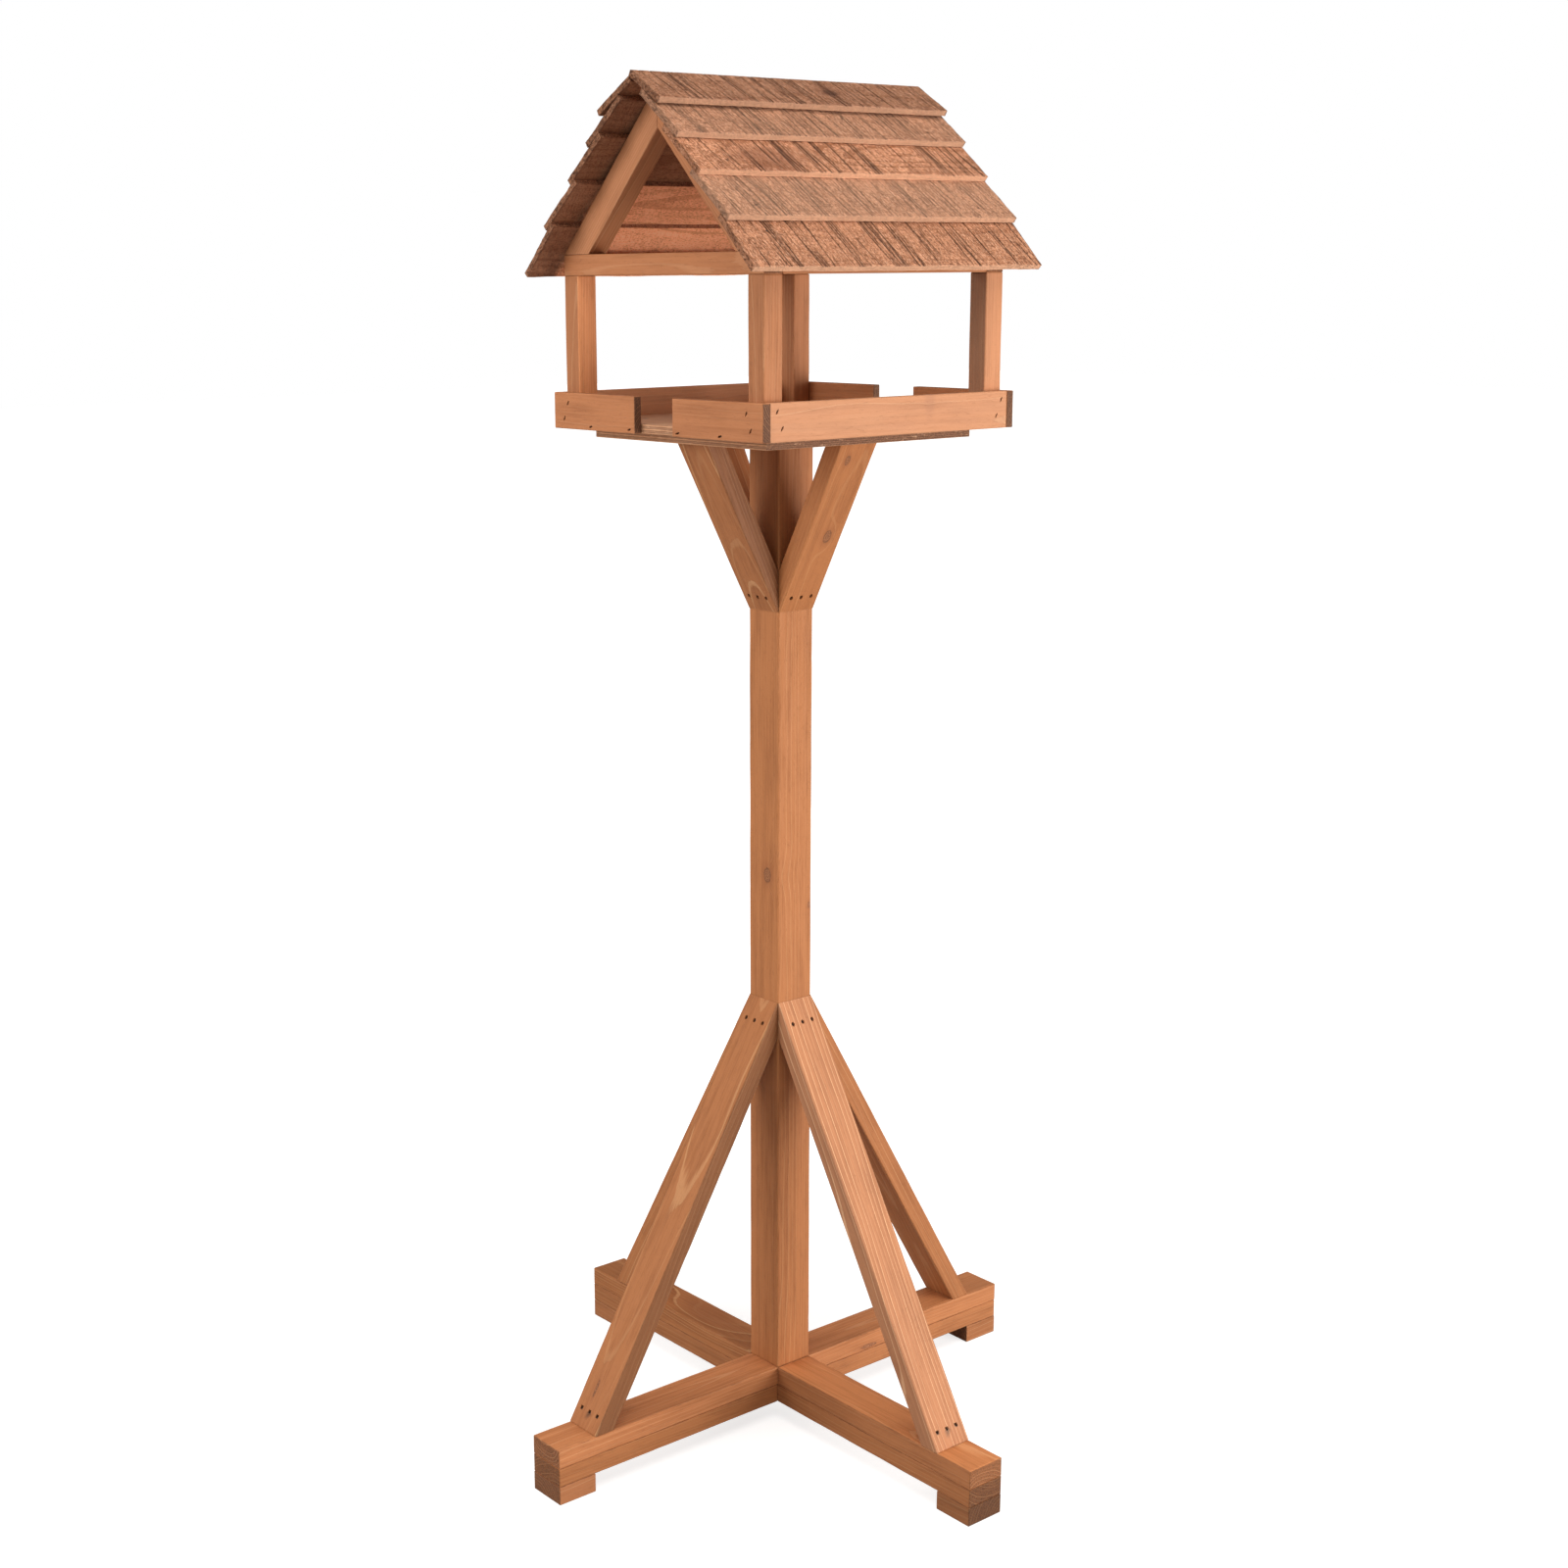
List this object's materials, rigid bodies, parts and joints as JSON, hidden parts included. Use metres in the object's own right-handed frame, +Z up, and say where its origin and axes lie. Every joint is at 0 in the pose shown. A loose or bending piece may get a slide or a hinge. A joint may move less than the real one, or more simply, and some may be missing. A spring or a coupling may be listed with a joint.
{
  "type": "bird feeder on pole",
  "caption": "Wooden bird table: a square post on a braced cross base carries a railed tray with corner posts and a lapped board gable roof.",
  "frame": {"origin": "on the ground, on the post's axis", "axes": "+Z up; the roof ridge runs along Y, the gables face -Y and +Y, and the long rails and eaves face -X and +X"},
  "size_m": [0.62, 0.62, 1.3767],
  "materials": {
    "stained_softwood": "planed softwood with an orange-brown preservative stain",
    "sawn_softwood": "thin sawn boards, rough faces with saw marks, same stain",
    "plywood": "plywood with stained faces and visible veneer edges",
    "zinc_steel": "zinc-plated nails, pins and screws"
  },
  "bodies": {
    "root": {"base_lower_back": "stained_softwood", "base_lower_front": "stained_softwood", "base_lower_x": "stained_softwood", "base_screws": "zinc_steel", "base_upper_left": "stained_softwood", "base_upper_right": "stained_softwood", "base_upper_y": "stained_softwood", "brace_back": "stained_softwood", "brace_front": "stained_softwood", "brace_left": "stained_softwood", "brace_nails": "zinc_steel", "brace_right": "stained_softwood", "bracket_back": "stained_softwood", "bracket_front": "stained_softwood", "bracket_left": "stained_softwood", "bracket_nails": "zinc_steel", "bracket_right": "stained_softwood", "corner_post_back_left": "stained_softwood", "corner_post_back_right": "stained_softwood", "corner_post_front_left": "stained_softwood", "corner_post_front_right": "stained_softwood", "eaves_plate_left": "stained_softwood", "eaves_plate_right": "stained_softwood", "foot_back": "stained_softwood", "foot_front": "stained_softwood", "foot_left": "stained_softwood", "foot_right": "stained_softwood", "foot_screws": "zinc_steel", "frame_nails": "zinc_steel", "mounting_plate": "plywood", "plate_screws": "zinc_steel", "post": "stained_softwood", "post_screw": "zinc_steel", "rafter_back_left": "stained_softwood", "rafter_back_right": "stained_softwood", "rafter_front_left": "stained_softwood", "rafter_front_right": "stained_softwood", "rail_back_left": "stained_softwood", "rail_back_right": "stained_softwood", "rail_front_left": "stained_softwood", "rail_front_right": "stained_softwood", "rail_left": "stained_softwood", "rail_pins": "zinc_steel", "rail_right": "stained_softwood", "roof_board_left_1": "sawn_softwood", "roof_board_left_2": "sawn_softwood", "roof_board_left_3": "sawn_softwood", "roof_board_left_4": "sawn_softwood", "roof_board_left_5": "sawn_softwood", "roof_board_right_1": "sawn_softwood", "roof_board_right_2": "sawn_softwood", "roof_board_right_3": "sawn_softwood", "roof_board_right_4": "sawn_softwood", "roof_board_right_5": "sawn_softwood", "roof_pins": "zinc_steel", "tie_beam_back": "stained_softwood", "tie_beam_front": "stained_softwood", "tray_floor": "plywood", "tray_screws": "zinc_steel"}
  },
  "joints": []
}
